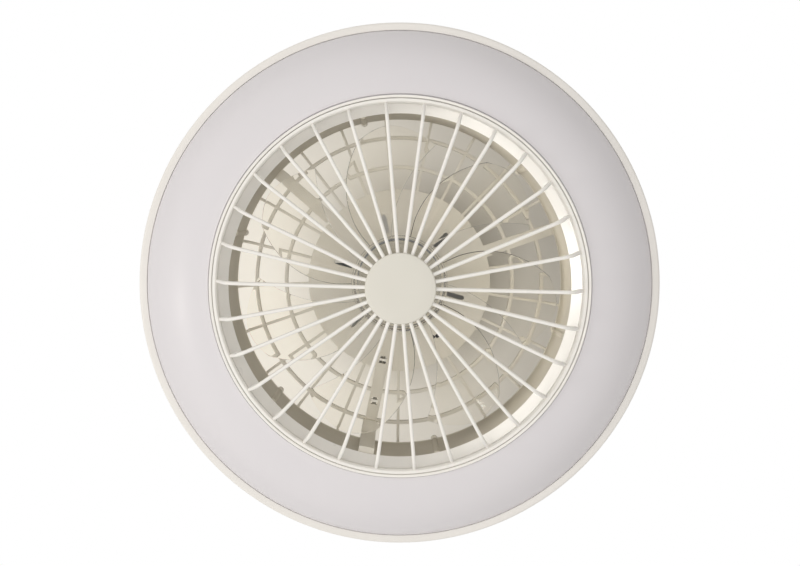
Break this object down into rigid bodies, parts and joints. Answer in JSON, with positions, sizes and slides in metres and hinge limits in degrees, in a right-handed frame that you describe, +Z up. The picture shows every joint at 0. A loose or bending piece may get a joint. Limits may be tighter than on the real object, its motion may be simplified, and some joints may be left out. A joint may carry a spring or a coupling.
{
  "type": "ceiling fan",
  "caption": "Flush ceiling fan: clear swept blades in a short duct behind a radial-bar grille, inside a shallow domed ring light, hung from a round canopy.",
  "frame": {"origin": "middle of the ceiling bracket's upper face, in the ceiling's plane", "axes": "+Z up into the ceiling along the rotor's axis; +X along the bracket's strap"},
  "size_m": [0.5499, 0.55, 0.187],
  "materials": {
    "bracket_steel": "zinc-plated sheet steel",
    "screw_steel": "zinc-plated",
    "white_plastic": "white moulded plastic, satin",
    "case_plastic": "white moulded plastic, matt",
    "terminal_plastic": "white nylon",
    "circuit_board": "green solder resist",
    "board_parts": "moulded electronic parts",
    "dark_lens": "black infrared lens",
    "lead_jacket": "grey flexible jacket",
    "motor_lead_jacket": "white sleeve",
    "clip_plastic": "white nylon",
    "led_board_white": "white solder resist",
    "led_chip": "yellow phosphor",
    "opal": "opal translucent plastic, lit from behind when on",
    "cream_plastic": "cream moulded plastic, satin",
    "rubber_pad": "matt",
    "cast_base": "die-cast",
    "lamination": "stacked electrical steel",
    "copper_wire": "enamelled copper winding",
    "bearing_steel": "ground",
    "rotor_metal": "deep-drawn, plated",
    "magnet": "nickel-plated sintered magnet",
    "clear_plastic": "clear moulded plastic, polished",
    "nut_plastic": "white nylon"
  },
  "bodies": {
    "housing": {"ceiling_bracket": "bracket_steel", "canopy": "white_plastic", "canopy_screws": "screw_steel", "terminal_block": "terminal_plastic", "terminal_screw": "screw_steel", "controller_case": "case_plastic", "controller_lid": "case_plastic", "control_board": "circuit_board", "board_parts": "board_parts", "controller_screws": "screw_steel", "receiver_eye": "dark_lens", "guard_screws": "screw_steel", "rear_guard": "white_plastic", "light_lead": "lead_jacket", "lead_clips": "clip_plastic", "lead_cover": "white_plastic", "cover_screw": "screw_steel", "drum": "white_plastic", "drum_screws": "screw_steel", "light_tray": "white_plastic", "tray_screws": "screw_steel", "led_boards": "led_board_white", "led_chips": "led_chip", "diffuser": "opal", "air_ring": "white_plastic", "air_ring_screws": "screw_steel", "front_grille": "white_plastic", "hub_cap": "cream_plastic", "motor_pad": "rubber_pad", "motor_base": "cast_base", "motor_screws": "screw_steel", "motor_board": "circuit_board", "motor_lead": "motor_lead_jacket", "stator_core": "lamination", "stator_coils": "copper_wire", "bearing_outer_races": "bearing_steel", "bearing_balls": "bearing_steel"},
    "rotor": {"bearing_inner_races": "bearing_steel", "bearing_spacer": "bearing_steel", "motor_shaft": "bearing_steel", "shaft_clip": "bearing_steel", "rotor_bell": "rotor_metal", "rotor_magnets": "magnet", "impeller": "clear_plastic", "impeller_nut": "nut_plastic"}
  },
  "joints": [
    {"name": "rotor_spin", "type": "hinge", "parent": "housing", "child": "rotor", "pos_m": [0, 0, -0.1], "axis": [0, 0, 1], "continuous": true}
  ]
}
